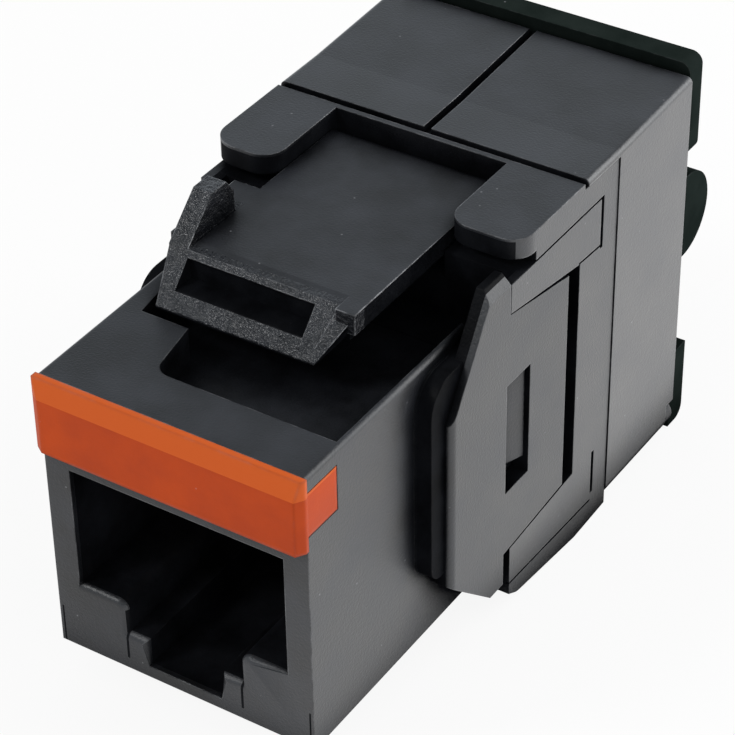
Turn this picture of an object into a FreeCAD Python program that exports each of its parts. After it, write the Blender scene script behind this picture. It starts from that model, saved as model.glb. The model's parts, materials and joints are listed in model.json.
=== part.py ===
import FreeCAD, Part
import os
import re
import Sketcher
from FreeCAD import Vector

# A keystone jack: the front housing takes the plug, the carrier behind it holds the contacts and the
# panel latch, and two doors close over the wires, which a pull-off cover and its holder press home.
#
# Lengths are millimetres. X runs to the right, seen from the front. Y is the depth behind the plain
# front face, and Z the height above the housing's underside. Every piece is drawn in that frame, and
# its Placement then puts the origin below the middle of the whole jack, on the surface it rests on.

SIZES = {
    # Front housing.
    "housing_width": 14.5,
    "housing_height": 15.9,
    "housing_length": 13.2,
    "housing_edge": 0.25,
    # Plug cavity: a stepped opening for the plug's body, its shoulders and its latch.
    "plug_width": 11.8,
    "plug_roof": 10.85,
    "plug_floor": 0.65,
    "plug_depth": 12.0,
    "step_gap": 6.4,
    "step_height": 4.0,
    "step_round": 0.6,
    "key_gap": 4.16,
    "key_height": 2.2,
    # Well in the housing's top, which the latch dips into.
    "well_left": 3.4,
    "well_left_front": 2.8,
    "well_right": 6.95,
    "well_front": 2.85,
    "well_floor": 14.1,
    "well_corner": 0.9,
    "side_well_front": 6.3,
    "side_well_left": 6.05,
    "side_well_flare": 0.9,
    # Shoulders that bear on the back of the panel.
    "shoulder_front": 8.62,
    "shoulder_reach": 0.94,
    "shoulder_bottom": 4.0,
    "shoulder_top": 15.35,
    "shoulder_round": 0.9,
    "shoulder_crown": 1.7,
    # Snap arms, whose windows hook over ramps on the carrier.
    "body_half": 8.65,
    "arm_thickness": 0.9,
    "arm_front": 9.7,
    "arm_foot": 3.2,
    "arm_brow": 12.75,
    "arm_tip_front": 13.15,
    "arm_tip": 18.2,
    "tip_bevel": 0.5,
    "left_arm_step": 10.45,
    "left_arm_top": 13.9,
    "arm_notch": 14.75,
    "arm_notch_height": 16.03,
    "arm_end": 20.2,
    "arm_end_top": 15.0,
    "arm_end_bottom": 2.4,
    "arm_heel": 14.5,
    "arm_heel_top": 1.9,
    "arm_toe": 13.3,
    "arm_round": 0.35,
    "window_front": 14.56,
    "window_rear": 16.7,
    "window_top": 12.05,
    "window_bottom": 5.63,
    "ramp_rise": 0.7,
    "ramp_gap": 0.15,
    "ramp_rear_gap": 0.08,
    "ramp_lift": 0.9,
    # Coloured clip round the housing's front.
    "clip_stand": 0.65,
    "clip_overhang": 0.05,
    "clip_bottom": 11.9,
    "clip_crown": 0.3,
    "clip_band": 1.0,
    "clip_edge_band": 0.45,
    "tab_length": 2.33,
    "tab_bottom": 12.65,
    "tab_top": 15.05,
    "tab_thickness": 0.5,
    # Contact comb above the plug, and the sprung contacts in it.
    "comb_width": 10.5,
    "comb_top": 12.95,
    "comb_front": 1.85,
    "contact_count": 8,
    "contact_pitch": 1.02,
    "contact_half": 0.23,
    "contact_slot": 0.62,
    "contact_height": 12.2,
    "contact_bend": 4.6,
    "bend_radius": 1.0,
    "contact_slope": 24,
    "contact_reach": 7.2,
    # Circuit board.
    "board_front": 14.55,
    "board_thickness": 1.0,
    "board_half": 6.5,
    "board_bottom": 0.3,
    "board_top": 13.1,
    "contact_hole": 0.6,
    "tail_hole": 0.7,
    # Carrier.
    "carrier_rear": 24.8,
    "deck_height": 14.1,
    "front_drop": 0.1,
    "belly_front": 15.9,
    "belly_drop": 1.5,
    "belly_round": 1.2,
    "heel_depth": 21.7,
    "heel_drop": 2.1,
    "rear_drop": 1.95,
    "bay_half": 6.7,
    "bay_front": 14.5,
    "bay_floor": 0.0,
    "bay_roof": 13.3,
    "ear_front": 15.6,
    "ear_bottom": 18.3,
    "ear_top": 19.4,
    "ear_rear": 21.5,
    "ear_round": 1.2,
    "left_ear_round": 1.35,
    "slit_floor": 17.65,
    "slit_rear": 17.0,
    "latch_bay_floor": 16.2,
    "latch_bay_rear": 21.2,
    "arm_slot": 1.05,
    "heel_slot": 0.6,
    "rail_end": 23.2,
    "rail_slot": 0.25,
    "rail_slot_depth": 0.7,
    "upper_rail_step": 14.8,
    "lower_rail_bottom": -0.25,
    "lower_rail_step": 2.4,
    "groove_width": 0.12,
    "groove_depth": 0.2,
    "upper_groove_front": 21.15,
    "upper_groove_height": 15.05,
    "lower_groove_height": -0.33,
    "lower_groove_drop": 0.3,
    "roof_void_floor": 15.0,
    "roof_void_top": 18.2,
    "roof_void_front": 22.3,
    "tray_half": 6.9,
    "tray_top": -0.5,
    "tray_rear": 32.05,
    "tray_rear_drop": 1.5,
    # Panel latch: a plate on a rolled bead, with a finger bar in front.
    "latch_left": 4.95,
    "latch_right": 4.5,
    "latch_top": 18.45,
    "latch_thickness": 1.1,
    "latch_gap": 0.08,
    "bead_radius": 0.6,
    "latch_rear": 21.1,
    "trunnion_radius": 0.4,
    "trunnion_length": 0.55,
    "bar_left": 6.03,
    "bar_right": 3.45,
    "bar_taper": 0.6,
    "bar_crease": 9.3,
    "bar_brow": 8.64,
    "bar_brow_drop": 0.13,
    "bar_lip": 6.45,
    "bar_bottom": 16.0,
    "bar_heel": 9.9,
    "bar_root": 10.9,
    "bar_round": 0.15,
    "plate_nose": 8.13,
    "grip_left": 4.8,
    "grip_right": 2.2,
    "grip_bottom": 16.9,
    "grip_top": 18.05,
    "grip_depth": 8.6,
    "lug_width": 1.06,
    "lug_height": 1.8,
    "lug_front": 10.73,
    "lug_crest_rear": 11.86,
    "lug_rear": 12.41,
    "lug_chamfer": 0.73,
    "web_left": 6.4,
    "web_rear": 14.46,
    # Wire block and its blades.
    "block_half": 6.62,
    "block_rear": 25.0,
    "tower_rear": 29.5,
    "column_pitch": 3.3,
    "lower_row": 2.0,
    "upper_row": 11.3,
    "tower_width": 2.7,
    "tower_height": 3.2,
    "wire_mouth": 1.0,
    "wire_mouth_depth": 26.0,
    "blade_width": 2.0,
    "blade_thickness": 0.4,
    "blade_gap": 0.05,
    "blade_front": 16.0,
    "blade_rear": 29.2,
    "blade_fork": 26.2,
    "fork_gap": 0.3,
    "fork_mouth": 0.9,
    "tail_width": 0.5,
    "tail_front": 14.8,
    # Doors over the wires.
    "door_half": 8.7,
    "door_wall": 1.2,
    "door_front": 24.85,
    "door_rear": 32.1,
    "door_top": 19.5,
    "door_rise": 0.3,
    "door_roof": 1.1,
    "flap_front": 21.8,
    "flap_thickness": 0.35,
    "flap_gap": 0.05,
    "seam_front": -0.2,
    "seam_rear": -0.32,
    "seam_gap": 0.42,
    "door_round": 0.3,
    "knuckle_radius": 0.85,
    "pin_radius": 0.4,
    "pin_length": 0.5,
    "hinge_drop": 0.85,
    "eye_length": 0.6,
    # Rear cover.
    "cover_front": 32.3,
    "cover_thickness": 1.1,
    "cover_half": 7.2,
    "cover_bottom": -0.3,
    "cover_top": 18.2,
    "cable_radius": 3.4,
    "cable_height": 6.65,
    "collar_wall": 1.0,
    "collar_length": 0.9,
    "flange_half": 8.4,
    "flange_bottom": 14.7,
    "flange_top": 20.3,
    "flange_front": 32.4,
    "flange_rear": 33.75,
    "flange_round": 0.6,
    "rear_reach": 35.3,
    "grip_radius": 2.43,
    "grip_height": 11.15,
    "grip_inner": 6.9,
    "foot_bottom": -2.05,
    "foot_top": 2.75,
    "foot_rear": 33.8,
    "foot_inner": 6.2,
    "foot_round": 0.7,
    # Wire holder inside the doors.
    "holder_half": 7.2,
    "holder_front": 31.1,
    "skirt_gap": 0.08,
    "skirt_front": 25.5,
    "skirt_bottom": 0.3,
    "skirt_top": 13.0,
    "presser_width": 0.8,
    "presser_near": 0.35,
    "presser_far": 1.15,
    "presser_tip": 28.0,
    # Clearance between seated pieces.
    "seat_gap": 0.05,
}

MARGIN = "1"      # how far a cut runs past the faces that it opens
TOUCH = 1e-4      # an edge passes through a spot if it is this near
SHEET = "Sizes"
FLAT = {"top": ("XY_Plane", 1), "front": ("XZ_Plane", -1), "side": ("YZ_Plane", 1)}

document = FreeCAD.newDocument("KeystoneJack")
sheet = document.addObject("Spreadsheet::Sheet", SHEET)
for row, (alias, size) in enumerate(SIZES.items(), 1):
    sheet.set("A%d" % row, alias.replace("_", " "))
    sheet.set("B%d" % row, str(size))
    sheet.setAlias("B%d" % row, alias)
document.recompute()

ALIASES = re.compile(r"\b(%s)\b" % "|".join(SIZES))
pieces = []


def bound(text):
    """The expression with each size read from the sheet."""
    return ALIASES.sub(SHEET + r".\1", text)


def value(text):
    """What an expression comes to."""
    return float(sheet.evalExpression(bound(text)))


def new_piece(name, across="0"):
    """A body drawn in the jack's own frame, set over the origin and moved along X by across."""
    body = document.addObject("PartDesign::Body", name)
    body.Label = name
    body.setExpression("Placement.Base.x", bound(across))
    body.setExpression("Placement.Base.y", bound("(clip_stand - rear_reach) / 2"))
    body.setExpression("Placement.Base.z", bound("heel_drop"))
    pieces.append(body)
    return body


def rectangle(left, right, bottom, top):
    """The four corners of a rectangle."""
    return [(left, bottom), (right, bottom), (right, top), (left, top)]


def new_sketch(body, plane, place):
    """An empty sketch parallel to one of the body's planes, at a place along its normal."""
    role, sense = FLAT[plane]
    flat = [item for item in body.Origin.OriginFeatures if item.Role == role][0]
    sketch = body.newObject("Sketcher::SketchObject", body.Name + "_sketch")
    sketch.AttachmentSupport = [(flat, "")]
    sketch.MapMode = "FlatFace"
    sketch.setExpression("AttachmentOffset.Base.z", bound("%d * (%s)" % (sense, place)))
    return sketch


def tie(sketch, kind, size, *ends):
    """A sketch dimension that follows an expression."""
    index = sketch.addConstraint(Sketcher.Constraint(kind, *ends, value(size)))
    sketch.setExpression("Constraints[%d]" % index, bound(size))


def draw(sketch, outline):
    """A closed outline: a list of corners, or a circle's centre and radius."""
    first = sketch.GeometryCount
    if isinstance(outline, tuple):
        across, up, radius = outline
        centre = Vector(value(across), value(up), 0)
        sketch.addGeometry(Part.Circle(centre, Vector(0, 0, 1), value(radius)))
        tie(sketch, "DistanceX", across, -1, 1, first, 3)
        tie(sketch, "DistanceY", up, -1, 1, first, 3)
        tie(sketch, "Radius", radius, first)
        return
    spots = [Vector(value(across), value(up), 0) for across, up in outline]
    for here, there in zip(spots, spots[1:] + spots[:1]):
        sketch.addGeometry(Part.LineSegment(here, there))
    for side, (across, up) in enumerate(outline):
        following = first + (side + 1) % len(outline)
        sketch.addConstraint(Sketcher.Constraint("Coincident", first + side, 2, following, 1))
        tie(sketch, "DistanceX", across, -1, 1, first + side, 1)
        tie(sketch, "DistanceY", up, -1, 1, first + side, 1)


def extrude(body, plane, outlines, start, end, cut=False):
    """A pad, or a pocket, of one or more outlines from start to end along the plane's axis."""
    sketch = new_sketch(body, plane, start)
    for outline in outlines:
        draw(sketch, outline)
    kind = "Pocket" if cut else "Pad"
    feature = body.newObject("PartDesign::" + kind, body.Name + "_" + kind.lower())
    feature.Profile = sketch
    feature.setExpression("Length", bound("(%s) - (%s)" % (end, start)))
    feature.Reversed = (FLAT[plane][1] < 0) != cut
    body.Tip = feature
    return feature


def extrude_both(body, outlines, inner, outer, cut=False):
    """The same side outline on the right and on the left."""
    extrude(body, "side", outlines, inner, outer, cut)
    extrude(body, "side", outlines, "-(%s)" % outer, "-(%s)" % inner, cut)


def edges_at(shape, spots):
    """Names of the edges that pass through the given spots."""
    points = [Part.Vertex(*[value(text) for text in spot]) for spot in spots]
    found = []
    for number, edge in enumerate(shape.Edges, 1):
        if any(edge.distToShape(point)[0] < TOUCH for point in points):
            found.append("Edge%d" % number)
    return found


def soften(body, radius, spots):
    """Rounds the edges that pass through the given spots."""
    document.recompute()
    base = body.Tip
    feature = body.newObject("PartDesign::Fillet", body.Name + "_fillet")
    feature.Base = (base, edges_at(base.Shape, spots))
    feature.setExpression("Radius", bound(radius))
    body.Tip = feature


def bevel(body, first, second, flip, spots):
    """Slopes the edges that pass through the given spots, by a different amount on each face."""
    document.recompute()
    base = body.Tip
    feature = body.newObject("PartDesign::Chamfer", body.Name + "_chamfer")
    feature.Base = (base, edges_at(base.Shape, spots))
    feature.ChamferType = "Two distances"
    feature.setExpression("Size", bound(first))
    feature.setExpression("Size2", bound(second))
    feature.FlipDirection = flip
    body.Tip = feature


def mirrored(outline):
    """An outline drawn on the other side of the middle."""
    return [("-(%s)" % across, up) for across, up in outline]


HOUSING_HALF = "housing_width / 2"
ARM_INNER = "body_half - arm_thickness"
CORE_HALF = "body_half - arm_thickness - seat_gap"
CARRIER_FRONT = "housing_length + seat_gap"


def front_housing():
    """The moulding that takes the plug, with its shoulders and two snap arms."""
    body = new_piece("front_housing")
    extrude(body, "front", [rectangle("-" + HOUSING_HALF, HOUSING_HALF, "0", "housing_height")],
            "0", "housing_length")
    soften(body, "housing_edge", [("housing_width / 2", "housing_length / 2", "housing_height"),
                                  ("-housing_width / 2", "housing_length / 2", "housing_height")])
    shoulder = rectangle("shoulder_front", "housing_length", "shoulder_bottom", "shoulder_top")
    reach = HOUSING_HALF + " + shoulder_reach"
    extrude(body, "side", [shoulder], "-(%s)" % reach, reach)
    for radius, height in (("shoulder_round", "shoulder_bottom"), ("shoulder_crown", "shoulder_top")):
        soften(body, radius, [(sign + "(housing_width / 2 + shoulder_reach / 2)", "shoulder_front", height)
                              for sign in ("", "-")])
    # The right arm rises to a tip beside the latch, and the left one stops below it.
    root = [("arm_toe", "0"), ("arm_front", "arm_foot"), ("arm_front", "arm_brow")]
    tip = [("arm_tip_front", "arm_tip"), ("arm_notch", "arm_tip"), ("arm_notch", "arm_notch_height"),
           ("arm_end", "arm_end_top")]
    low_tip = [("left_arm_step", "left_arm_top"), ("arm_end", "left_arm_top")]
    heel = [("arm_end", "arm_end_bottom"), ("arm_heel", "arm_heel_top"), ("arm_heel", "0")]
    extrude(body, "side", [root + tip + heel], ARM_INNER, "body_half")
    extrude(body, "side", [root + low_tip + heel], "-body_half", "-(%s)" % ARM_INNER)
    soften(body, "arm_round", [(sign + "body_half", "arm_front", "(arm_foot + arm_brow) / 2")
                               for sign in ("", "-")])
    bevel(body, "tip_bevel", "tip_bevel", False,
          [("body_half", "(arm_tip_front + arm_notch) / 2", "arm_tip")])
    window = rectangle("window_front", "window_rear", "window_bottom", "window_top")
    extrude_both(body, [window], ARM_INNER, "body_half", cut=True)
    # The plug's shoulders run on two steps, and its latch in the deep middle.
    cavity = [("-plug_width / 2", "step_height"), ("-step_gap / 2", "step_height"),
              ("-step_gap / 2", "key_height"), ("-key_gap / 2", "key_height"),
              ("-key_gap / 2", "plug_floor"), ("key_gap / 2", "plug_floor"),
              ("key_gap / 2", "key_height"), ("step_gap / 2", "key_height"),
              ("step_gap / 2", "step_height"), ("plug_width / 2", "step_height"),
              ("plug_width / 2", "plug_roof"), ("-plug_width / 2", "plug_roof")]
    extrude(body, "front", [cavity], "0", "plug_depth", cut=True)
    soften(body, "step_round", [(sign + "step_gap / 2", "plug_depth / 2", "step_height")
                                for sign in ("", "-")])
    # Room for the contact comb, open to the rear.
    comb_room = rectangle("-comb_width / 2 - seat_gap", "comb_width / 2 + seat_gap",
                          "plug_roof - seat_gap", "comb_top + seat_gap")
    extrude(body, "front", [comb_room], "comb_front - seat_gap", "housing_length", cut=True)
    # The well under the latch, with a flared pocket on its left.
    well = [("-well_left_front", "well_front"), ("well_right", "well_front"),
            ("well_right", "housing_length"), ("-well_left", "housing_length"),
            ("-well_left", "side_well_front")]
    extrude(body, "top", [well], "well_floor", "housing_height", cut=True)
    soften(body, "well_corner", [("-well_left_front", "well_front", "(well_floor + housing_height) / 2")])
    side_well = [("-side_well_left", "side_well_front"), ("-well_left", "side_well_front"),
                 ("-well_left", "housing_length"), ("-side_well_left - side_well_flare", "housing_length")]
    extrude(body, "top", [side_well], "well_floor", "housing_height", cut=True)
    # Recesses for the coloured clip's tabs.
    tab_room = rectangle("0", "tab_length + seat_gap", "tab_bottom - seat_gap", "tab_top + seat_gap")
    extrude_both(body, [tab_room], HOUSING_HALF + " - tab_thickness - seat_gap", HOUSING_HALF, cut=True)


def colour_clip():
    """The coloured bar across the front, held by a tab on each side."""
    body = new_piece("colour_clip")
    half = HOUSING_HALF + " + clip_overhang"
    extrude(body, "front", [rectangle("-(%s)" % half, half, "clip_bottom", "housing_height")],
            "-clip_stand", "0")
    tab = rectangle("0", "tab_length", "tab_bottom", "tab_top")
    extrude_both(body, [tab], HOUSING_HALF + " - tab_thickness", HOUSING_HALF)
    bevel(body, "clip_crown", "clip_band", True, [("0", "-clip_stand", "housing_height")])
    bevel(body, "clip_crown", "clip_edge_band", False,
          [(sign + "(%s)" % half, "-clip_stand", "(clip_bottom + housing_height) / 2") for sign in ("", "-")])


def contact_place(index):
    """How far one of the sprung contacts is from the middle."""
    return "(%d - (contact_count - 1) / 2) * contact_pitch" % index


def contact_comb():
    """The slotted insert that guides the sprung contacts above the plug."""
    body = new_piece("contact_comb")
    extrude(body, "front", [rectangle("-comb_width / 2", "comb_width / 2", "plug_roof", "comb_top")],
            "comb_front", "bay_front")
    slots = []
    for index in range(SIZES["contact_count"]):
        middle = contact_place(index)
        slots.append(rectangle("%s - contact_slot / 2" % middle, "%s + contact_slot / 2" % middle,
                               "plug_roof - " + MARGIN, "contact_height + contact_slot / 2"))
    extrude(body, "front", slots, "contact_bend - bend_radius - contact_slot", "bay_front", cut=True)


def spring_contact(index):
    """A sprung strip: forward from the board, down round a bend and back into the plug's path."""
    body = new_piece("spring_contact_%d" % (index + 1), contact_place(index))
    tail = "board_front + board_thickness * 3 / 4"
    bend = "(contact_bend - bend_radius)"
    turn = "(contact_height - 2 * bend_radius)"
    mitre = "contact_half * tan(45 - contact_slope / 2)"
    along = "(%s + contact_reach * cos(contact_slope))" % bend
    down = "(%s - contact_reach * sin(contact_slope))" % turn
    outer = [(bend + " - contact_half", "contact_height + contact_half"),
             (bend + " - contact_half", "%s - %s" % (turn, mitre))]
    inner = [(bend + " + contact_half", "%s + %s" % (turn, mitre)),
             (bend + " + contact_half", "contact_height - contact_half")]
    end = [(along + " - contact_half * sin(contact_slope)", down + " - contact_half * cos(contact_slope)"),
           (along + " + contact_half * sin(contact_slope)", down + " + contact_half * cos(contact_slope)")]
    strip = [(tail, "contact_height + contact_half")] + outer + end + inner
    strip.append((tail, "contact_height - contact_half"))
    extrude(body, "side", [strip], "-contact_half", "contact_half")
    soften(body, "bend_radius", [("0", depth, height) for depth, height in outer])
    soften(body, "bend_radius - 2 * contact_half", [("0", depth, height) for depth, height in inner])


def blade_places():
    """Where each wire blade stands: its column along X and its row along Z."""
    columns = ["%s * column_pitch" % share for share in ("-1.5", "-0.5", "0.5", "1.5")]
    return [(column, line) for line in ("lower_row", "upper_row") for column in columns]


def around(column, line, width, height):
    """A rectangle about a place."""
    return rectangle("%s - (%s) / 2" % (column, width), "%s + (%s) / 2" % (column, width),
                     "%s - (%s) / 2" % (line, height), "%s + (%s) / 2" % (line, height))


def circuit_board():
    """The board that joins the sprung contacts to the blades."""
    body = new_piece("circuit_board")
    rear = "board_front + board_thickness"
    extrude(body, "front", [rectangle("-board_half", "board_half", "board_bottom", "board_top")],
            "board_front", rear)
    holes = [around(contact_place(index), "contact_height", "contact_hole", "contact_hole")
             for index in range(SIZES["contact_count"])]
    holes += [around(column, line, "tail_hole", "tail_hole") for column, line in blade_places()]
    extrude(body, "front", holes, "board_front", rear, cut=True)


def wire_block():
    """The block that holds the blades, with a slotted tower for each."""
    body = new_piece("wire_block")
    front = "board_front + board_thickness + seat_gap"
    back = rectangle("-block_half", "block_half", "bay_floor + seat_gap", "bay_roof - seat_gap")
    extrude(body, "front", [back], front, "block_rear")
    places = blade_places()
    extrude(body, "front", [around(column, line, "tower_width", "tower_height") for column, line in places],
            "block_rear", "tower_rear")
    extrude(body, "front", [around(column, line, "wire_mouth", "tower_height") for column, line in places],
            "wire_mouth_depth", "tower_rear", cut=True)
    width, thickness = ("%s + 2 * blade_gap" % size for size in ("blade_width", "blade_thickness"))
    extrude(body, "front", [around(column, line, width, thickness) for column, line in places],
            front, "tower_rear", cut=True)


def wire_blade(number, column, line):
    """A forked strip that cuts through a wire's cover, with a tail in the board."""
    body = new_piece("wire_blade_%d" % number, column)
    outline = [("-tail_width / 2", "tail_front"), ("tail_width / 2", "tail_front"),
               ("tail_width / 2", "blade_front"), ("blade_width / 2", "blade_front"),
               ("blade_width / 2", "blade_rear - fork_mouth / 2"), ("fork_mouth / 2", "blade_rear"),
               ("fork_gap / 2", "blade_rear - fork_mouth"), ("fork_gap / 2", "blade_fork"),
               ("-fork_gap / 2", "blade_fork"), ("-fork_gap / 2", "blade_rear - fork_mouth"),
               ("-fork_mouth / 2", "blade_rear"), ("-blade_width / 2", "blade_rear - fork_mouth / 2"),
               ("-blade_width / 2", "blade_front"), ("-tail_width / 2", "blade_front")]
    extrude(body, "top", [outline], "%s - blade_thickness / 2" % line, "%s + blade_thickness / 2" % line)


def carrier():
    """The main moulding: bay, ears, side rails, latch bay and the tray under the wires."""
    body = new_piece("carrier")
    side_view = [(CARRIER_FRONT, "-front_drop"), (CARRIER_FRONT, "deck_height"),
                 ("ear_front", "deck_height"), ("ear_front", "slit_floor"), ("slit_rear", "slit_floor"),
                 ("slit_rear", "ear_bottom"), ("ear_front", "ear_bottom"), ("ear_front", "ear_top"),
                 ("ear_rear", "ear_top"), ("ear_rear", "door_top - flap_thickness - flap_gap"),
                 ("carrier_rear", "door_top - flap_thickness - flap_gap"), ("carrier_rear", "-rear_drop"),
                 ("heel_depth", "-heel_drop"), ("belly_front", "-belly_drop")]
    extrude(body, "side", [side_view], "-body_half", "body_half")
    notch = "arm_notch + seat_gap"
    extrude_both(body, [rectangle(notch, "ear_front", "deck_height", "slit_floor")], CORE_HALF, "body_half")
    latch_bay = rectangle("-latch_left - latch_gap", "latch_right + latch_gap",
                          CARRIER_FRONT, "latch_bay_rear")
    extrude(body, "top", [latch_bay], "latch_bay_floor", "ear_top", cut=True)
    ear_middle = "(ear_bottom + ear_top) / 2"
    soften(body, "belly_round", [("0", "belly_front", "-belly_drop")])
    soften(body, "left_ear_round", [("-body_half", "ear_front", ear_middle)])
    soften(body, "ear_round", [(across, "ear_front", ear_middle) for across in
                               ("body_half", "-latch_left - latch_gap", "latch_right + latch_gap")])
    # Room for the snap arms, which lie flush in the sides.
    below = "-belly_drop - " + MARGIN
    heel_end = "arm_heel + heel_slot"
    slot_end = "arm_end + arm_slot"
    lower_room = [(CARRIER_FRONT, "slit_floor"), (CARRIER_FRONT, below), (heel_end, below),
                  (heel_end, "arm_heel_top - seat_gap"), (slot_end, "arm_end_bottom - seat_gap")]
    upper_room = [(slot_end, "arm_end_top + seat_gap"), (notch, "arm_notch_height + seat_gap"),
                  (notch, "slit_floor")]
    left_room = [(slot_end, "left_arm_top + seat_gap"), (notch, "left_arm_top + seat_gap"),
                 (notch, "slit_floor")]
    extrude(body, "side", [lower_room + upper_room], CORE_HALF, "body_half", cut=True)
    extrude(body, "side", [lower_room + left_room], "-body_half", "-(%s)" % CORE_HALF, cut=True)
    ramp_rear = "window_rear - ramp_rear_gap"
    ramp = [(CORE_HALF, "window_front + ramp_gap"), (CORE_HALF + " + ramp_rise", ramp_rear),
            (CORE_HALF, ramp_rear)]
    for outline in (ramp, mirrored(ramp)):
        extrude(body, "top", [outline], "window_bottom + ramp_lift", "window_top - ramp_gap")
    # Slots behind the rails above and below each arm.
    rail_slots = [rectangle("rail_end", "rail_end + rail_slot", "upper_rail_step", "slit_floor"),
                  rectangle("rail_end", "rail_end + rail_slot", "lower_rail_bottom", "lower_rail_step")]
    extrude_both(body, rail_slots, "body_half - rail_slot_depth", "body_half", cut=True)
    # Fine grooves that set the rails off from the body.
    slot_middle = "rail_end + rail_slot / 2"
    upper_end = "upper_rail_step + groove_width"
    lower_end = "lower_groove_height - lower_groove_drop"
    grooves = [rectangle("slit_rear", "rail_end + rail_slot", "slit_floor", "slit_floor + groove_width"),
               [("upper_groove_front", "upper_groove_height"), (slot_middle, upper_end),
                (slot_middle, upper_end + " + groove_width"),
                ("upper_groove_front", "upper_groove_height + groove_width")],
               [(heel_end, "lower_groove_height"), ("rail_end", lower_end),
                ("rail_end", lower_end + " - groove_width"),
                (heel_end, "lower_groove_height - groove_width")]]
    extrude_both(body, grooves, "body_half - groove_depth", "body_half", cut=True)
    # The bay for the board and the wire block, the comb's window and the void in the roof.
    extrude(body, "front", [rectangle("-bay_half", "bay_half", "bay_floor", "bay_roof")],
            "bay_front", "carrier_rear", cut=True)
    window = rectangle("-comb_width / 2 - seat_gap", "comb_width / 2 + seat_gap",
                       "plug_roof - seat_gap", "comb_top + seat_gap")
    extrude(body, "front", [window], CARRIER_FRONT, "bay_front", cut=True)
    extrude(body, "front", [rectangle("-bay_half", "bay_half", "roof_void_floor", "roof_void_top")],
            "roof_void_front", "carrier_rear", cut=True)
    # Holes for the latch's trunnions.
    trunnion_hole = ("latch_rear - bead_radius", "latch_top - bead_radius", "trunnion_radius + seat_gap")
    extrude(body, "side", [trunnion_hole], "-latch_left - latch_gap - trunnion_length",
            "latch_right + latch_gap + trunnion_length", cut=True)
    # The tray, with an eye for each door's rear pin and a hole for its front one.
    tray = [("carrier_rear", "-rear_drop"), ("tray_rear", "-tray_rear_drop"), ("tray_rear", "tray_top"),
            ("carrier_rear", "tray_top")]
    extrude(body, "side", [tray], "-tray_half", "tray_half")
    hinge = "door_half - knuckle_radius"
    eye_front = "tray_rear - eye_length"
    for sign in ("", "-"):
        middle = "%s(%s)" % (sign, hinge)
        web = rectangle("%stray_half" % sign, middle, "-hinge_drop - pin_radius", "-hinge_drop + pin_radius")
        extrude(body, "front", [web], eye_front, "tray_rear")
        extrude(body, "front", [(middle, "-hinge_drop", "knuckle_radius")], eye_front, "tray_rear")
        extrude(body, "front", [(middle, "-hinge_drop", "pin_radius + seat_gap")],
                eye_front, "tray_rear", cut=True)
        extrude(body, "front", [(middle, "-hinge_drop", "pin_radius + seat_gap")],
                "carrier_rear - pin_length - seat_gap", "carrier_rear", cut=True)


def panel_latch():
    """The sprung plate that holds the panel, turning on a rolled bead at its rear."""
    body = new_piece("panel_latch")
    hinge_depth = "latch_rear - bead_radius"
    hinge_height = "latch_top - bead_radius"
    underside = "latch_top - latch_thickness"
    plate = rectangle("bar_crease", hinge_depth, underside, "latch_top")
    extrude(body, "side", [plate], "-latch_left", "latch_right")
    extrude(body, "side", [(hinge_depth, hinge_height, "bead_radius")], "-latch_left", "latch_right")
    extrude(body, "side", [(hinge_depth, hinge_height, "trunnion_radius")],
            "-latch_left - trunnion_length", "latch_right + trunnion_length")
    extrude(body, "side", [rectangle("bar_crease", "web_rear", underside, "latch_top")],
            "-web_left", "-latch_left")
    nose = rectangle("plate_nose", "bar_crease", underside, "latch_top")
    extrude(body, "side", [nose], "bar_right", "latch_right")
    bar = [("bar_crease", "latch_top"), ("bar_brow", "latch_top - bar_brow_drop"), ("bar_lip", "bar_bottom"),
           ("bar_heel", "bar_bottom"), ("bar_root", underside), ("bar_root", "latch_top")]
    extrude(body, "side", [bar], "-bar_left", "bar_right")
    # The bar narrows towards its lip.
    right_taper = [("bar_right", "latch_top"), ("bar_right", "bar_bottom"),
                   ("bar_right - bar_taper", "bar_bottom")]
    left_taper = [("-bar_left", "latch_top"), ("-bar_left + bar_taper", "bar_bottom"),
                  ("-bar_left", "bar_bottom")]
    extrude(body, "front", [right_taper, left_taper], "bar_lip", "bar_crease", cut=True)
    lug = [("bar_brow", "latch_top - bar_brow_drop"), ("lug_front", "latch_top + lug_height"),
           ("lug_crest_rear", "latch_top + lug_height"), ("lug_rear", "latch_top + lug_height - lug_chamfer"),
           ("lug_rear", underside), ("bar_brow", underside)]
    extrude(body, "side", [lug], "-bar_left", "-bar_left + lug_width")
    # The hollow for a fingertip in the bar's face.
    extrude(body, "front", [rectangle("-grip_left", "grip_right", "grip_bottom", "grip_top")],
            "bar_lip", "grip_depth", cut=True)
    soften(body, "bar_round", [("0", "bar_lip", "bar_bottom")])


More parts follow.
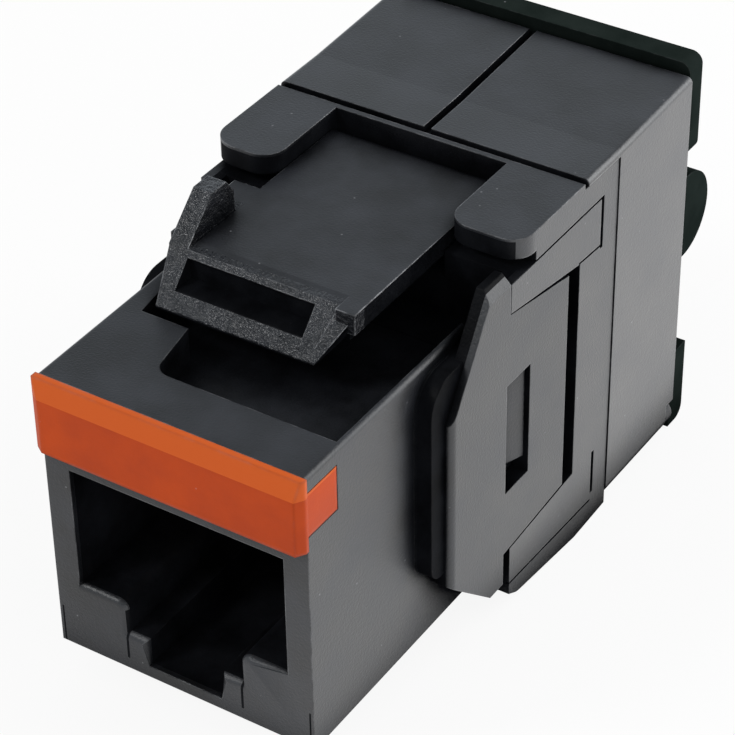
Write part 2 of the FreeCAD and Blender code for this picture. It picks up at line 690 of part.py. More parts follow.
def door(name, sign):
    """Half of the hinged cover: a side wall, half of the roof and a knuckle along the bottom."""
    body = new_piece(name)
    outer = "door_half"
    inner = "door_half - door_wall"
    ends = (inner, outer) if not sign else ("-door_half", "-(%s)" % inner)
    eye_front = "tray_rear - eye_length - seat_gap"
    wall = [("door_front", "-hinge_drop"), ("door_front", "door_top"), ("door_rear", "door_top + door_rise"),
            ("door_rear", "seat_gap"), (eye_front, "seat_gap"), (eye_front, "-hinge_drop")]
    extrude(body, "side", [wall], *ends)
    roof = [("flap_front", "door_top"), ("door_front", "door_top"), ("door_rear", "door_top + door_rise"),
            ("door_rear", "door_top + door_rise - door_roof"), ("door_front", "door_top - door_roof"),
            ("door_front", "door_top - flap_thickness"), ("flap_front", "door_top - flap_thickness")]
    other = "-" if not sign else ""
    reach = "(door_wall + seam_front)"
    roof_ends = ("-" + reach, outer) if not sign else ("-door_half", reach)
    extrude(body, "side", [roof], *roof_ends)
    # The roof ends at the slanting seam in the middle.
    half_gap = "%sseam_gap / 2" % sign
    trim = [("seam_front + " + half_gap, "flap_front"), ("seam_rear + " + half_gap, "door_rear"),
            (other + reach, "door_rear"), (other + reach, "flap_front")]
    extrude(body, "top", [trim], "door_top - door_roof", "door_top + door_rise", cut=True)
    soften(body, "door_round", [(sign + "door_half", "(door_front + door_rear) / 2",
                                 "door_top + door_rise / 2")])
    middle = "%s(door_half - knuckle_radius)" % sign
    extrude(body, "front", [(middle, "-hinge_drop", "knuckle_radius")], "door_front", eye_front)
    extrude(body, "front", [(middle, "-hinge_drop", "pin_radius")],
            "carrier_rear - pin_length", "tray_rear - seat_gap")


def rear_cover():
    """The pull-off cover behind the doors: cable entry, flange, finger grips and feet."""
    body = new_piece("rear_cover")
    rear = "cover_front + cover_thickness"
    extrude(body, "front", [rectangle("-cover_half", "cover_half", "cover_bottom", "cover_top")],
            "cover_front", rear)
    extrude(body, "front", [rectangle("-flange_half", "flange_half", "flange_bottom", "flange_top")],
            "flange_front", "flange_rear")
    soften(body, "flange_round", [(sign + "flange_half", "(flange_front + flange_rear) / 2", height)
                                  for sign in ("", "-") for height in ("flange_bottom", "flange_top")])
    foot = rectangle("cover_front", "foot_rear", "foot_bottom", "foot_top")
    extrude_both(body, [foot], "foot_inner", "flange_half")
    soften(body, "foot_round", [(sign + "(foot_inner + flange_half) / 2", "foot_rear", "foot_bottom")
                                for sign in ("", "-")])
    grip_depth = "rear_reach - grip_radius"
    extrude_both(body, [(grip_depth, "grip_height", "grip_radius")], "grip_inner", "flange_half")
    cut_back = rectangle(grip_depth + " - grip_radius", "cover_front", "grip_height - grip_radius",
                         "grip_height + grip_radius")
    extrude_both(body, [cut_back], "grip_inner", "flange_half", cut=True)
    collar_rear = rear + " + collar_length"
    extrude(body, "front", [("0", "cable_height", "cable_radius + collar_wall")], rear, collar_rear)
    extrude(body, "front", [("0", "cable_height", "cable_radius")], "cover_front", collar_rear, cut=True)


def wire_holder():
    """The frame inside the doors that presses the wires onto the blades."""
    body = new_piece("wire_holder")
    rear = "cover_front - seat_gap"
    extrude(body, "front", [rectangle("-holder_half", "holder_half", "skirt_bottom", "skirt_top")],
            "holder_front", rear)
    extrude(body, "front", [("0", "cable_height", "cable_radius")], "holder_front", rear, cut=True)
    skirt = rectangle("skirt_front", "holder_front", "skirt_bottom", "skirt_top")
    extrude_both(body, [skirt], "block_half + skirt_gap", "holder_half")
    pressers = []
    for column, line in blade_places():
        for sign in ("-", "+"):
            near, far = ("%s %s presser_near" % (line, sign), "%s %s presser_far" % (line, sign))
            pressers.append(rectangle("%s - presser_width / 2" % column, "%s + presser_width / 2" % column,
                                      near, far))
    extrude(body, "front", pressers, "presser_tip", "holder_front")


def check():
    """Stops if a feature failed, a pocket cut nothing or a piece isn't one good solid."""
    for item in document.Objects:
        if "Invalid" in item.State or "Error" in item.State:
            raise RuntimeError("%s failed: %s" % (item.Name, item.State))
        if item.TypeId == "PartDesign::Pocket" and item.Shape.Volume >= item.BaseFeature.Shape.Volume:
            raise RuntimeError("%s cut nothing" % item.Name)
    for piece in pieces:
        shape = piece.Shape
        if shape.isNull() or not shape.isValid() or len(shape.Solids) != 1:
            raise RuntimeError("%s isn't one valid solid" % piece.Label)


front_housing()
colour_clip()
contact_comb()
for contact in range(SIZES["contact_count"]):
    spring_contact(contact)
circuit_board()
carrier()
wire_block()
for count, (place, level) in enumerate(blade_places(), 1):
    wire_blade(count, place, level)
panel_latch()
door("right_door", "")
door("left_door", "-")
rear_cover()
wire_holder()
document.recompute()
check()
os.makedirs("parts", exist_ok=True)
for piece in pieces:
    piece.Shape.exportStep("parts/%s.step" % piece.Label)
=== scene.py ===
import json
import math

import bmesh
import bpy
import numpy as np
from mathutils import Matrix, Vector

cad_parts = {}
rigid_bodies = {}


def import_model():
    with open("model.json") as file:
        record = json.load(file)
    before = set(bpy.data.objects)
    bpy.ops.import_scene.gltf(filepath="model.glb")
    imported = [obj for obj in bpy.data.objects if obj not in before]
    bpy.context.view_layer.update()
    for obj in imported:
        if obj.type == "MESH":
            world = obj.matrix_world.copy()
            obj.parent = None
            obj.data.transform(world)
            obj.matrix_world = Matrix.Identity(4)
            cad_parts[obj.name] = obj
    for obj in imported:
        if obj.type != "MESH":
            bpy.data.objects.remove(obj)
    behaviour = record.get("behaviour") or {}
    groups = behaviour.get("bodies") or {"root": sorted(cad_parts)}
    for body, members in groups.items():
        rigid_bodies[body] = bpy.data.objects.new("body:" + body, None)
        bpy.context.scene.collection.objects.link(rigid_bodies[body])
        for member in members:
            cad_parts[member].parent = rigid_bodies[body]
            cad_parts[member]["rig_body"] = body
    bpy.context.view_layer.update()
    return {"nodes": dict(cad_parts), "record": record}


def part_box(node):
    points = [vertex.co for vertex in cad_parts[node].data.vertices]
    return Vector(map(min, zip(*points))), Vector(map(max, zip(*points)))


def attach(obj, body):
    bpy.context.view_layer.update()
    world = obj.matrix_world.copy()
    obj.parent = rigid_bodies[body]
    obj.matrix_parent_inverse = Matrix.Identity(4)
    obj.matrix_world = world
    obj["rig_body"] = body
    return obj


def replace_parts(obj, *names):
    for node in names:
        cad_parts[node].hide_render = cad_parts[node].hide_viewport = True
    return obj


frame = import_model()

# The looks of a keystone jack: black moulded plastic, an orange clip, gilt contacts and soft studio light.
# X runs to the right, seen from the front, Y is the depth and Z the height. Lengths are metres, and MM is
# one millimetre. Places on the jack are in its own mm, from the middle of its front face's lower edge.

MM = 0.001
nodes = frame["nodes"]
slots = {part["node"]: part["material_slot"] for part in frame["record"]["subparts"]}
scene = bpy.context.scene
scene.view_settings.view_transform = "Standard"
housing_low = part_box("front_housing")[0]
FRONT = Vector((0, housing_low.y, housing_low.z))


def top_of(node):
    """A node's highest point, in the jack's own mm."""
    return (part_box(node)[1].z - FRONT.z) / MM


# Where the jack's forms lie, in its own mm. A HALF is the reach to either side of the middle. A box for
# a finish ends a little past the form that it holds, or just short of a face that keeps its own finish.
CAVITY_HALF, CAVITY_TOP = 6.0, 11.0         # the plug's cavity
STEP_HALF, STEP_TOP = 3.2, 4.0              # the steps that the plug's shoulders run on
KEY_HALF, KEY_FLOOR = 2.08, 0.65            # the deep middle between them, for the plug's latch
SHOULDER_HALF = (7.4, 8.3)                  # the shoulders that bear on the panel
BAR_FRONT, BAR_REAR = 6.0, 9.3              # the finger bar across the front of the latch's plate
BAR_FOOT, BAR_TOP = 15.0, 18.4
BAR_LEFT, BAR_RIGHT = -7.0, 5.0
HOLLOW_LEFT, HOLLOW_RIGHT = -4.82, 2.22     # the hollow for a fingertip in the bar's face
HOLLOW_FOOT, HOLLOW_TOP = 16.88, 18.07
PLATE_EDGE, PLATE_SIDE = (4.4, 4.6), (17.0, 18.4)     # the right edge of the latch's plate
ANYWHERE = (-99, 99)


# ---- Materials ----

# A Mix node's sockets go by their numbers, because those for colours and for numbers share their names.
SHARE = 0
FIRST_COLOUR, SECOND_COLOUR, COLOUR_OUT = 6, 7, 2
FIRST_NUMBER, SECOND_NUMBER, NUMBER_OUT = 2, 3, 0


def linear(colour):
    """An sRGB hex colour as linear red, green, blue and alpha."""
    shares = [int(colour[start:start + 2], 16) / 255 for start in (1, 3, 5)]
    return [s / 12.92 if s <= 0.04045 else ((s + 0.055) / 1.055) ** 2.4 for s in shares] + [1.0]


def add(tree, kind, inputs=None, **settings):
    """A node with its settings. Each input is fed by another node's output or keeps a value."""
    made = tree.nodes.new("ShaderNode" + kind)
    for name, setting in settings.items():
        setattr(made, name, setting)
    for socket, source in (inputs or {}).items():
        if isinstance(source, bpy.types.NodeSocket):
            tree.links.new(source, made.inputs[socket])
        else:
            made.inputs[socket].default_value = source
    return made


def new_material(name):
    """An empty material, its tree and its Object coordinates."""
    material = bpy.data.materials.new(name)
    material.use_nodes = True
    tree = material.node_tree
    tree.nodes.clear()
    return material, tree, add(tree, "TexCoord").outputs["Object"]


def inside(tree, parts, boxes):
    """Whether a point is in one of some boxes, each given as x, y and z ranges in the jack's own mm."""
    found = None
    for ranges in boxes:
        held = None
        # COMPARE gives 1 where the place on an axis is within reach of the box's middle.
        for axis, start, (low, high) in zip("XYZ", FRONT, ranges):
            middle, reach = start + (low + high) / 2 * MM, (high - low) / 2 * MM
            within = add(tree, "Math", {0: parts.outputs[axis], 1: middle, 2: reach},
                         operation="COMPARE").outputs["Value"]
            held = within if held is None else add(tree, "Math", {0: held, 1: within},
                                                   operation="MULTIPLY").outputs["Value"]
        found = held if found is None else add(tree, "Math", {0: found, 1: held},
                                               operation="MAXIMUM").outputs["Value"]
    return found


def both_sides(across, depth, height):
    """A box on the right and its mirror image on the left."""
    low, high = across
    return [(across, depth, height), ((-high, -low), depth, height)]


def pale_marks_and_highlights(tree, place, corner, edge_wear_and_highlight):
    """Sparse pale specks of 0.1 mm, and corners pale in patches of about a millimetre: wear, and a painted
    highlight along the edges.
    """
    specks = add(tree, "TexVoronoi", {"Scale": 1 / (1.3 * MM), "Vector": place}).outputs["Distance"]
    speck = add(tree, "MapRange", {"From Min": 0.05, "From Max": 0.025, "To Max": 0.35,
                                   "Value": specks}).outputs["Result"]
    # A corner is where the rounded normal leaves the flat one: it starts at 10 degrees, and counts in
    # full from 26, whose cosines these are.
    flat = add(tree, "NewGeometry").outputs["Normal"]
    bend = add(tree, "VectorMath", {0: corner, 1: flat}, operation="DOT_PRODUCT").outputs["Value"]
    turned = add(tree, "MapRange", {"From Min": 0.985, "From Max": 0.9, "Value": bend}).outputs["Result"]
    patches = add(tree, "TexNoise", {"Scale": 1 / (1.1 * MM), "Detail": 6.0, "Roughness": 0.7,
                                     "Vector": place}).outputs["Fac"]
    patch = add(tree, "MapRange", {"From Min": 0.44, "From Max": 0.62, "To Max": edge_wear_and_highlight,
                                   "Value": patches}).outputs["Result"]
    worn_and_highlit = add(tree, "Math", {0: turned, 1: patch}, operation="MULTIPLY").outputs["Value"]
    return add(tree, "Math", {0: worn_and_highlit, 1: speck}, operation="MAXIMUM").outputs["Value"]


def unshaded_share(tree, parts, painted_shade_boxes):
    """How much shine a point keeps over painted shade: the less, the less sky it sees, and a tenth in shaded
    boxes.
    """
    # Painted shade: a point that sees little sky within 6 mm is darkened and loses its shine.
    sky_seen = add(tree, "AmbientOcclusion", {"Distance": 6.0 * MM}, samples=8).outputs["AO"]
    shine = add(tree, "MapRange", {"From Min": 0.5, "From Max": 0.9, "Value": sky_seen}).outputs["Result"]
    if painted_shade_boxes:
        outside_painted_shade = add(tree, "Math", {0: inside(tree, parts, painted_shade_boxes), 1: -0.9, 2: 1.0},
                       operation="MULTIPLY_ADD").outputs["Value"]
        shine = add(tree, "Math", {0: shine, 1: outside_painted_shade}, operation="MULTIPLY").outputs["Value"]
    return shine


def moulded(name, dark, light, roughness, grain, relief, edge=0.11, coat=0.0, specular=0.5, edge_wear_and_highlight=0.35,
            eroded=(), painted_shade_boxes=(), lit_band=None):
    """Moulded thermoplastic: clouded colour, a fine grain from the mould, pale specks, corners pale from wear
    with a painted highlight on them, and painted shade in recesses.

    grain and relief are the width and height of the grain, and edge the radius of the corners, in mm.
    coat is the share of a resin-rich skin, and edge_wear_and_highlight how pale its corners are, from wear
    and a painted highlight. eroded lists the boxes in which the mould was left spark-eroded, and
    painted_shade_boxes those painted in shade. lit_band is a box that is painted lighter for the light
    that falls on it, and its colour there.
    """
    material, tree, place = new_material(name)
    parts = add(tree, "SeparateXYZ", {"Vector": place})
    # The melt leaves clouds of a few millimetres.
    clouds = add(tree, "TexNoise", {"Scale": 1 / (3.2 * MM), "Detail": 5.0, "Roughness": 0.6,
                                    "Vector": place}).outputs["Fac"]
    cloud = add(tree, "MapRange", {"From Min": 0.36, "From Max": 0.66, "Value": clouds}).outputs["Result"]
    colour = add(tree, "Mix", {SHARE: cloud, FIRST_COLOUR: linear(dark), SECOND_COLOUR: linear(light)},
                 data_type="RGBA").outputs[COLOUR_OUT]
    # Painted light: the band's box takes a paler colour, for the light that falls on it.
    if lit_band:
        box, lit_band_colour = lit_band
        colour = add(tree, "Mix", {SHARE: inside(tree, parts, [box]), FIRST_COLOUR: colour,
                                   SECOND_COLOUR: linear(lit_band_colour)},
                     data_type="RGBA").outputs[COLOUR_OUT]
    corner = add(tree, "Bevel", {"Radius": edge * MM}, samples=6).outputs["Normal"]
    # Pale corners: patches of wear, with a painted highlight along the edges.
    dust_wear_and_highlight = add(tree, "Mix", {SHARE: pale_marks_and_highlights(tree, place, corner, edge_wear_and_highlight), FIRST_COLOUR: colour,
                              SECOND_COLOUR: linear("#A2A4A8")}, data_type="RGBA").outputs[COLOUR_OUT]
    gloss = add(tree, "MapRange", {"From Min": 0.3, "From Max": 0.7, "To Min": roughness - 0.05,
                                   "To Max": roughness + 0.07, "Value": clouds}).outputs["Result"]
    fine = add(tree, "TexNoise", {"Scale": 1 / (grain * MM), "Detail": 2.0, "Roughness": 0.6,
                                  "Vector": place}).outputs["Fac"]
    normal = add(tree, "Bump", {"Strength": 1.0, "Distance": relief * MM, "Height": fine,
                                "Normal": corner}).outputs["Normal"]
    if eroded:
        # Spark erosion leaves pits of about 0.1 mm, and they are drawn coarser so that they show.
        where = inside(tree, parts, eroded)
        coarse = add(tree, "TexNoise", {"Scale": 1 / (0.45 * MM), "Detail": 3.0, "Roughness": 0.7,
                                        "Vector": place}).outputs["Fac"]
        pits = add(tree, "Math", {0: coarse, 1: where}, operation="MULTIPLY").outputs["Value"]
        normal = add(tree, "Bump", {"Strength": 1.0, "Distance": 0.22 * MM, "Height": pits,
                                    "Normal": normal}).outputs["Normal"]
        gloss = add(tree, "MapRange", {"To Min": roughness, "To Max": roughness - 0.15,
                                       "Value": where}).outputs["Result"]
    skin = add(tree, "BsdfPrincipled", {"IOR": 1.53, "Coat Weight": coat, "Coat Roughness": 0.3,
                                        "Specular IOR Level": specular, "Base Color": dust_wear_and_highlight,
                                        "Roughness": gloss, "Normal": normal,
                                        "Coat Normal": normal}).outputs["BSDF"]
    # Painted shade: where a point sees little sky, and in the boxes painted in shade, the plastic turns
    #     into a matt copy at four tenths of its colour, without shine.
    deep = add(tree, "Mix", {SHARE: 0.6, FIRST_COLOUR: colour, SECOND_COLOUR: linear("#000000")},
               data_type="RGBA").outputs[COLOUR_OUT]
    painted_shade_skin = add(tree, "BsdfDiffuse", {"Roughness": 1.0, "Normal": normal, "Color": deep}).outputs["BSDF"]
    surface = add(tree, "MixShader", {0: unshaded_share(tree, parts, painted_shade_boxes), 1: painted_shade_skin, 2: skin})
    add(tree, "OutputMaterial", {"Surface": surface.outputs["Shader"]})
    return material


def gold_plated_bronze():
    """Gold flash over drawn bronze: a bright, warm metal with faint drawing lines from front to back.

    The lines are 0.05 mm apart, wider than the real ones, so that they show.
    """
    material, tree, place = new_material("gold_plated_bronze")
    stretched = add(tree, "Mapping", {"Scale": (1, 0.06, 1), "Vector": place}).outputs["Vector"]
    lines = add(tree, "TexNoise", {"Scale": 1 / (0.05 * MM), "Detail": 2.0,
                                   "Vector": stretched}).outputs["Fac"]
    colour = add(tree, "Mix", {SHARE: lines, FIRST_COLOUR: linear("#C9963C"),
                               SECOND_COLOUR: linear("#EDC569")}, data_type="RGBA").outputs[COLOUR_OUT]
    gloss = add(tree, "MapRange", {"To Min": 0.16, "To Max": 0.34, "Value": lines}).outputs["Result"]
    corner = add(tree, "Bevel", {"Radius": 0.04 * MM}, samples=4).outputs["Normal"]
    normal = add(tree, "Bump", {"Strength": 0.4, "Distance": 0.004 * MM, "Height": lines,
                                "Normal": corner}).outputs["Normal"]
    shader = add(tree, "BsdfPrincipled", {"Metallic": 1.0, "Base Color": colour, "Roughness": gloss,
                                          "Normal": normal})
    add(tree, "OutputMaterial", {"Surface": shader.outputs["BSDF"]})
    return material


def green_glass_epoxy():
    """Woven glass in epoxy under solder mask: a glossy green in which the weave shows faintly.

    Its threads lie 0.6 mm apart, and are drawn 1.78 mm apart so that they show.
    """
    material, tree, place = new_material("green_glass_epoxy")
    thread = 1.7756 * MM
    # At a scale of 1 the wave repeats every pi / 10.
    across, upward = [add(tree, "TexWave", {"Scale": math.pi / 10 / thread, "Vector": place},
                          bands_direction=way).outputs["Fac"] for way in ("X", "Z")]
    cloth = add(tree, "Math", {0: across, 1: upward}, operation="MULTIPLY").outputs["Value"]
    colour = add(tree, "Mix", {SHARE: cloth, FIRST_COLOUR: linear("#0E3A1E"),
                               SECOND_COLOUR: linear("#1B5A30")}, data_type="RGBA").outputs[COLOUR_OUT]
    normal = add(tree, "Bump", {"Strength": 0.5, "Distance": 0.01 * MM, "Height": cloth}).outputs["Normal"]
    shader = add(tree, "BsdfPrincipled", {"Roughness": 0.22, "IOR": 1.55, "Base Color": colour,
                                          "Normal": normal})
    add(tree, "OutputMaterial", {"Surface": shader.outputs["BSDF"]})
    return material


# Painted shade: the cavity, the shoulders, and dark lines for the shade in the narrow grooves along the
# steps' inner edges and at the feet of the posts on either side of the cavity.
PAINTED_SHADE_HOUSING = [((-CAVITY_HALF, CAVITY_HALF), (0.3, 20), (0.3, CAVITY_TOP)),
                *both_sides(SHOULDER_HALF, ANYWHERE, ANYWHERE),
                *both_sides((STEP_HALF, STEP_HALF + 0.14), (-0.1, 0.3), (KEY_FLOOR, STEP_TOP - 0.5)),
                *both_sides((7.0, 7.1), (-0.1, 0.2), (0, 2.2))]
# Painted shade on the walls round the latch's plate, below their rims.
PAINTED_SHADE_CARRIER = [((-8.2, 8.2), (0, 19), (15, top_of("carrier") - 0.15))]
# Painted shade on the right edge of the latch's plate, and in the hollow in its bar.
PAINTED_SHADE_LATCH = [(PLATE_EDGE, (8.9, 20), PLATE_SIDE),
              ((HOLLOW_LEFT, HOLLOW_RIGHT), (BAR_FRONT, 8.7), (HOLLOW_FOOT, HOLLOW_TOP))]
# The lug with the bar's left end, the bar's right end, its rims below and above the hollow, and the front
# of the plate's right edge.
ERODED_LATCH = [((BAR_LEFT, HOLLOW_LEFT), (BAR_FRONT, 13), (BAR_FOOT, 21)),
                ((HOLLOW_RIGHT, BAR_RIGHT), (BAR_FRONT, BAR_REAR), (BAR_FOOT, BAR_TOP)),
                ((BAR_LEFT, BAR_RIGHT), (BAR_FRONT, BAR_REAR), (BAR_FOOT, HOLLOW_FOOT)),
                ((BAR_LEFT, BAR_RIGHT), (BAR_FRONT, BAR_REAR), (HOLLOW_TOP, BAR_TOP)),
                (PLATE_EDGE, (8, 17), PLATE_SIDE)]
# The clip's upper band, from side to side, which is painted lighter for the light that falls on it.
CLIP_BAND = ((-7.3, 7.3), ANYWHERE, (top_of("colour_clip") - 1.0, 99))

# The grain of such moulds is about 0.03 mm wide, and is drawn coarser so that it shows.
BLACK_ABS = {"dark": "#121316", "light": "#26282D", "roughness": 0.4, "grain": 0.12}
POLYCARBONATE = {"roughness": 0.5, "grain": 0.1, "relief": 0.006}
FINISHES = {
    # ABS from a satin mould: near black, with a soft grey sheen on its flat sides.
    "front_housing": moulded("satin_black_abs", **BLACK_ABS, relief=0.02, painted_shade_boxes=PAINTED_SHADE_HOUSING),
    # The same with a richer skin, so that its rims catch a little more light.
    "carrier": moulded("satin_black_abs_skin", **BLACK_ABS, relief=0.018, coat=0.2, edge_wear_and_highlight=0.5,
                       painted_shade_boxes=PAINTED_SHADE_CARRIER),
    # ABS from a smoother mould: the broad doors mirror the pale room.
    "right_door": moulded("semigloss_black_abs", **BLACK_ABS, relief=0.016, coat=0.4, edge_wear_and_highlight=0.5),
    # ABS from a mould that is spark-eroded in places: a smooth plate with a coarse bar and lug.
    "panel_latch": moulded("spark_eroded_black_abs", **BLACK_ABS, relief=0.014, edge_wear_and_highlight=1.0,
                           eroded=ERODED_LATCH, painted_shade_boxes=PAINTED_SHADE_LATCH),
    # Coloured ABS with little shine: an even orange, painted paler along its narrow upper band for the light
    # that falls on it.
    "colour_clip": moulded("orange_abs", "#AE3C08", "#BE460E", roughness=0.5, grain=0.1, relief=0.008,
                           edge=0.28, specular=0.14, edge_wear_and_highlight=0.1, lit_band=(CLIP_BAND, "#CC5A20")),
    # Glass-filled nylon: matt and dry, so that the comb stays dark behind the contacts.
    "contact_comb": moulded("matt_black_nylon", "#101012", "#17171A", roughness=0.6, grain=0.12,
                            relief=0.01, edge=0.06),
    # Polycarbonate from a plain mould: darker and duller than the shells round it.
    "wire_block": moulded("black_polycarbonate", "#121315", "#1A1B1D", **POLYCARBONATE, edge=0.08),
    # Tinted polycarbonate that mirrors nothing: the cover reads as a green black.
    "rear_cover": moulded("green_black_polycarbonate", "#1A211F", "#242B29", **POLYCARBONATE,
                          specular=0.0, edge_wear_and_highlight=0.12),
    "circuit_board": green_glass_epoxy(),
}
FINISHES["left_door"] = FINISHES["right_door"]
FINISHES["wire_holder"] = FINISHES["rear_cover"]
contact_finish = gold_plated_bronze()


# ---- Pieces ----

def place_piece(name, mesh, node):
    """Puts a mesh into the scene on a CAD node's body, with that node's slot and finish."""
    piece = bpy.data.objects.new(name, mesh)
    scene.collection.objects.link(piece)
    mesh.materials.append(FINISHES[node])
    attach(piece, nodes[node]["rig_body"])
    return piece


def merged_copy(node):
    """A CAD node's mesh with its loose triangles joined into whole faces."""
    form = bmesh.new()
    form.from_mesh(nodes[node].data)
    bmesh.ops.remove_doubles(form, verts=form.verts, dist=1e-7)
    bmesh.ops.dissolve_limit(form, angle_limit=math.radians(0.4), verts=form.verts, edges=form.edges)
    return form


def round_edges(form, width, steps, chosen):
    """Rounds the edges whose two ends, in the jack's own mm, both pass a test."""
    picked = [edge for edge in form.edges
              if all(chosen(*((end.co - FRONT) / MM)) for end in edge.verts)]
    bmesh.ops.bevel(form, geom=picked, offset=width * MM, segments=steps, profile=0.5, affect="EDGES")


NOSE_WIDTH, NOSE_STEPS = 0.35, 4
BROADEST_CURVED = 4.0       # in mm2: broader faces are flat, and lie in no rounding
SHARPEST_CURVED = 32        # in degrees: faces that meet at more keep their edge


def housing_shell():
    """The front housing's own form, with the front edges of the cavity's steps rounded."""
    form = merged_copy("front_housing")
    for side in (-1, 1):
        round_edges(form, NOSE_WIDTH, NOSE_STEPS, lambda x, y, z: (
            abs(y) < 0.01 and KEY_HALF - 0.08 < side * x < CAVITY_HALF - 0.05
            and KEY_FLOOR - 0.05 < z < STEP_TOP + 0.05))
    for face in form.faces:
        face.smooth = face.calc_area() < BROADEST_CURVED * MM ** 2
    mesh = bpy.data.meshes.new("housing_shell")
    form.to_mesh(mesh)
    form.free()
    # The CAD mesh's own shading doesn't fit the joined faces.
    if "custom_normal" in mesh.attributes:
        mesh.attributes.remove(mesh.attributes["custom_normal"])
    mesh.set_sharp_from_angle(angle=math.radians(SHARPEST_CURVED))
    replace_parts(place_piece("housing_shell", mesh, "front_housing"), "front_housing")


# The bar end's section, as depths and heights, and the place and slant of its two ends.
BAR_END_SECTION = [(6.8, 16.0), (9.3, 16.0), (9.3, 18.1), (8.42, 18.1), (6.69, 16.25), (6.66, 16.15)]
BAR_END_LEFT, BAR_END_RIGHT = (2.8, 0.245), (3.15, 0.55)


def latch_bar_end():
    """The solid corner in which the latch's bar ends, under the corner of its plate.

    It is a prism, with one section from end to end. An end's corner lies as far to the right as the end's
    place plus its slant times the corner's height above the section's first point, and its depth and
    height are the section's.
    """
    section = np.array(BAR_END_SECTION)
    rise = section[:, 1] - section[0, 1]
    points = np.concatenate([np.column_stack([place + slant * rise, section])
                             for place, slant in (BAR_END_LEFT, BAR_END_RIGHT)])
    count = len(section)
    here = np.arange(count)
    after = (here + 1) % count
    sides = np.column_stack([here, after, after + count, here + count]).tolist()
    ends = [here[::-1].tolist(), (here + count).tolist()]
    mesh = bpy.data.meshes.new("latch_bar_end")
    mesh.from_pydata((points * MM + np.array(FRONT)).tolist(), [], sides + ends)
    place_piece("latch_bar_end", mesh, "panel_latch")


housing_shell()
latch_bar_end()
for name, slot in slots.items():
    node = nodes[name]
    node.data.materials.clear()
    node.data.materials.append(FINISHES.get(name, contact_finish))


# ---- Floor, sky and lamps ----

def studio_white(tree, share, lit, reflected, tint="#FFFFFF"):
    """White for straight looks, a chosen level and tint for reflections, and the lit surface for the rest.

    share is how much of the white lies over the lit surface, which keeps the shadows on the floor.
    """
    rays = add(tree, "LightPath").outputs
    straight = rays["Is Camera Ray"]
    mirrored = add(tree, "Math", {0: rays["Is Glossy Ray"], 1: rays["Is Transmission Ray"]},
                   operation="MAXIMUM").outputs["Value"]
    seen = add(tree, "Math", {0: straight, 1: mirrored}, operation="MAXIMUM").outputs["Value"]
    weight = add(tree, "Math", {0: seen, 1: share}, operation="MULTIPLY").outputs["Value"]
    level = add(tree, "Mix", {SHARE: straight, FIRST_NUMBER: reflected,
                              SECOND_NUMBER: 1.0}).outputs[NUMBER_OUT]
    colour = add(tree, "Mix", {SHARE: straight, FIRST_COLOUR: linear(tint),
                               SECOND_COLOUR: linear("#FFFFFF")}, data_type="RGBA").outputs[COLOUR_OUT]
    white = add(tree, "Emission", {"Strength": level, "Color": colour}).outputs["Emission"]
    return add(tree, "MixShader", {0: weight, 1: lit, 2: white}).outputs["Shader"]


def white_paper():
    """Matt white backdrop paper: it stays white to the eye, and is mirrored brighter on the right."""
    material, tree, place = new_material("white_paper")
    matt = add(tree, "BsdfDiffuse", {"Color": (0.85, 0.85, 0.85, 1)}).outputs["BSDF"]
    across = add(tree, "SeparateXYZ", {"Vector": place}).outputs["X"]
    bright = add(tree, "MapRange", {"From Min": -5 * MM, "From Max": 15 * MM, "To Min": 0.95,
                                    "To Max": 1.7, "Value": across}).outputs["Result"]
    surface = studio_white(tree, share=0.9, lit=matt, reflected=bright)
    add(tree, "OutputMaterial", {"Surface": surface})
    return material


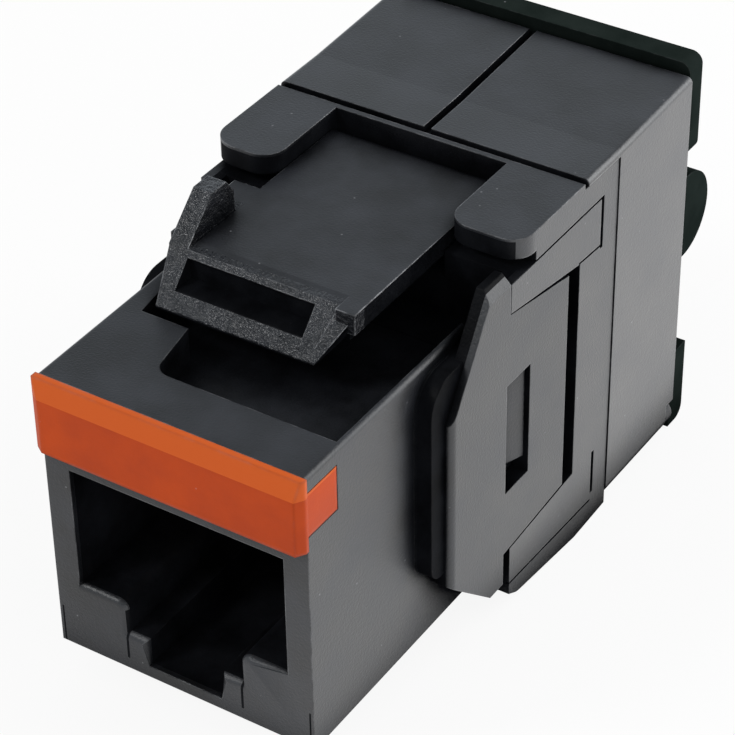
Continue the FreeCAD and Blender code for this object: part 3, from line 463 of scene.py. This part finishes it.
def pale_studio():
    """A studio that is white all round and, in reflections, dims and cools towards the ceiling."""
    world = bpy.data.worlds.new("studio")
    world.use_nodes = True
    tree = world.node_tree
    tree.nodes.clear()
    ambient = add(tree, "Background", {"Strength": 0.7}).outputs["Background"]
    rising = add(tree, "SeparateXYZ", {"Vector": add(tree, "TexCoord").outputs["Generated"]}).outputs["Z"]
    ceiling = add(tree, "MapRange", {"From Min": 0.1, "From Max": 0.6, "To Min": 1.0, "To Max": 0.5,
                                     "Value": rising}).outputs["Result"]
    sky = studio_white(tree, share=1.0, lit=ambient, reflected=ceiling, tint="#EEF7FF")
    add(tree, "OutputWorld", {"Surface": sky})
    return world


AIM = Vector((0, 0, 10 * MM))     # about the middle of the jack, which the lamps face


def softbox(name, direction, distance, size, power):
    """A square lamp that faces the jack from a direction. distance and size are metres, and power watts."""
    data = bpy.data.lights.new(name, "AREA")
    data.size = size
    data.energy = power
    lamp = bpy.data.objects.new(name, data)
    towards = Vector(direction).normalized()
    lamp.location = AIM + towards * distance
    lamp.rotation_mode = "QUATERNION"
    lamp.rotation_quaternion = towards.to_track_quat("Z", "Y")
    scene.collection.objects.link(lamp)


FLOOR_SIZE = 6.0
FLOOR_DROP = 0.02 * MM      # keeps the floor clear of the jack's underside
bpy.ops.mesh.primitive_plane_add(size=FLOOR_SIZE, location=(0, 0, -FLOOR_DROP))
floor = bpy.context.object
floor.name = "floor"
floor.data.materials.append(white_paper())
scene.world = pale_studio()
softbox("right_rear_key", (0.62, 0.68, 0.42), distance=0.3, size=0.25, power=0.7)
softbox("left_front_fill", (-0.44, -0.6, 0.67), distance=0.5, size=0.1, power=0.7)
softbox("right_side", (1.0, -0.4, 0.3), distance=0.5, size=0.3, power=0.25)


# ---- Camera ----

# It looks down on the jack from in front and from the right.
CAMERA_RIGHT = Vector((0.84057, 0.54153, -0.01341))
CAMERA_UP = Vector((-0.31343, 0.50640, 0.80332))
CAMERA_PLACE = Vector((61.398, -77.332, 91.687)) * MM
camera_data = bpy.data.cameras.new("camera")
camera_data.sensor_width = 36.0
camera_data.lens = 139.57
camera_data.clip_start = 0.01
camera = bpy.data.objects.new("camera", camera_data)
turn = Matrix((CAMERA_RIGHT, CAMERA_UP, CAMERA_RIGHT.cross(CAMERA_UP))).transposed()
camera.matrix_world = Matrix.Translation(FRONT + CAMERA_PLACE) @ turn.to_4x4()
scene.collection.objects.link(camera)
scene.camera = camera
